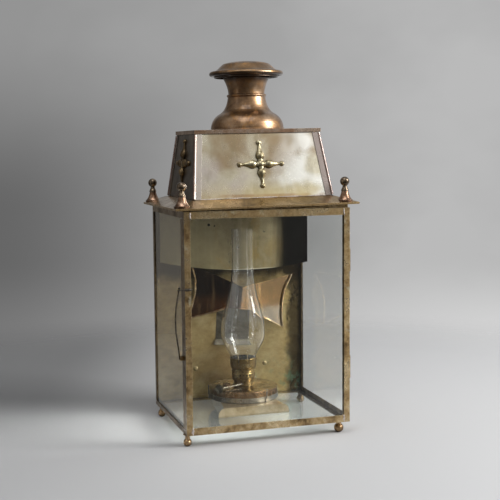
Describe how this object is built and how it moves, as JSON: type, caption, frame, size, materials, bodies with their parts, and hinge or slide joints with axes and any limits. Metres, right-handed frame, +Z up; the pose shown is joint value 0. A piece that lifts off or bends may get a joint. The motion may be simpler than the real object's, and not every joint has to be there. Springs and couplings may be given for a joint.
{
  "type": "oil lantern",
  "caption": "Square glazed brass and copper lantern with a hinged front door, a pierced oil burner lamp on a stand, a reflector and a spun chimney cowl.",
  "frame": {"origin": "centre of the overall box on the plane that the four ball feet rest on", "axes": "+Z up, the glazed door faces -Y, +X to the right seen from the door"},
  "size_m": [0.3032, 0.2406, 0.6107],
  "materials": {
    "aged_brass": "aged, warm brown with green and pale spots",
    "roof_brass": "dull pale olive",
    "sheet_brass": "dull olive, rubbed",
    "turned_brass": "satin, worn bright on the high spots",
    "burner_brass": "satin, darkened in the recesses",
    "brown_copper": "aged copper, brown with pink rubbed places",
    "font_copper": "lacquered copper, semi-gloss",
    "blackened_copper": "heat-blackened",
    "tinned_sheet": "dull tinned",
    "iron_wire": "dark, lightly rusted",
    "window_glass": "clear, slightly dusty",
    "green_glass": "clear, greenish",
    "lamp_glass": "clear, blown",
    "cotton": "woven cotton, charred at the end"
  },
  "bodies": {
    "case": {"base_frame": "aged_brass", "feet": "turned_brass", "post_front_left": "aged_brass", "post_front_right": "aged_brass", "post_back_left": "aged_brass", "post_back_right": "aged_brass", "top_frame": "aged_brass", "floor_glass": "green_glass", "left_glass": "window_glass", "right_glass": "window_glass", "glass_channels": "sheet_brass", "back_plate": "sheet_brass", "back_sill": "sheet_brass", "back_rivets": "turned_brass", "heat_shield": "sheet_brass", "reflector": "brown_copper", "reflector_tab": "blackened_copper", "eaves_soffit": "aged_brass", "eaves_plate": "roof_brass", "finial_cones": "brown_copper", "finial_knobs": "turned_brass", "roof_front": "roof_brass", "roof_left": "roof_brass", "roof_right": "roof_brass", "roof_back": "roof_brass", "hip_strips": "brown_copper", "cross_front": "turned_brass", "cross_left": "turned_brass", "cross_right": "turned_brass", "crown_plate": "brown_copper", "cowl_bell": "brown_copper", "cowl_neck": "brown_copper", "cowl_cap": "brown_copper", "cap_collar": "brown_copper", "cap_straps": "brown_copper", "lamp_stand": "sheet_brass", "font_tray": "tinned_sheet", "font_clips": "turned_brass", "hinge_plates": "turned_brass", "hinge_pins": "iron_wire", "catch_staple": "turned_brass"},
    "door": {"door_frame": "aged_brass", "door_glass": "window_glass", "door_tabs": "turned_brass", "door_hinges": "turned_brass", "door_keeper": "iron_wire"},
    "catch": {"catch_wire": "iron_wire"},
    "lamp": {"oil_font": "font_copper", "burner_collar": "burner_brass", "burner_body": "burner_brass", "gallery": "burner_brass", "wick_tube": "burner_brass"},
    "winder": {"winder_shaft": "iron_wire", "winder_knob": "burner_brass"},
    "round_wick": {"wick": "cotton"},
    "lamp_chimney": {"chimney_glass": "lamp_glass"},
    "font_cap": {"filler_cap": "turned_brass"}
  },
  "joints": [
    {"name": "front_door", "type": "hinge", "parent": "case", "child": "door", "pos_m": [0.1399, -0.10475, 0.19], "axis": [0, 0, 1], "range_deg": [0, 110]},
    {"name": "door_catch", "type": "hinge", "parent": "case", "child": "catch", "pos_m": [-0.1415, -0.098, 0.1415], "axis": [0, -1, 0], "range_deg": [0, 75]},
    {"name": "lamp_lift", "type": "slide", "parent": "case", "child": "lamp", "axis": [0, 0, 1], "range_m": [0, 0.024]},
    {"name": "chimney_lift", "type": "slide", "parent": "lamp", "child": "lamp_chimney", "axis": [0, 0, 1], "range_m": [0, 0.018]},
    {"name": "wick_knob_turn", "type": "hinge", "parent": "lamp", "child": "winder", "pos_m": [0.00582, 0.02988, 0.0641], "axis": [-0.8829, -0.4695, 0], "range_deg": [0, 172]},
    {"name": "wick_raise", "type": "slide", "parent": "lamp", "child": "round_wick", "axis": [0, 0, 1], "range_m": [0, 0.012]},
    {"name": "filler_cap_lift", "type": "slide", "parent": "lamp", "child": "font_cap", "axis": [0, 0, 1], "range_m": [0, 0.01]}
  ],
  "couplings": [
    {"joint": "wick_knob_turn", "follows": "wick_raise", "rad_per_m": 250}
  ]
}
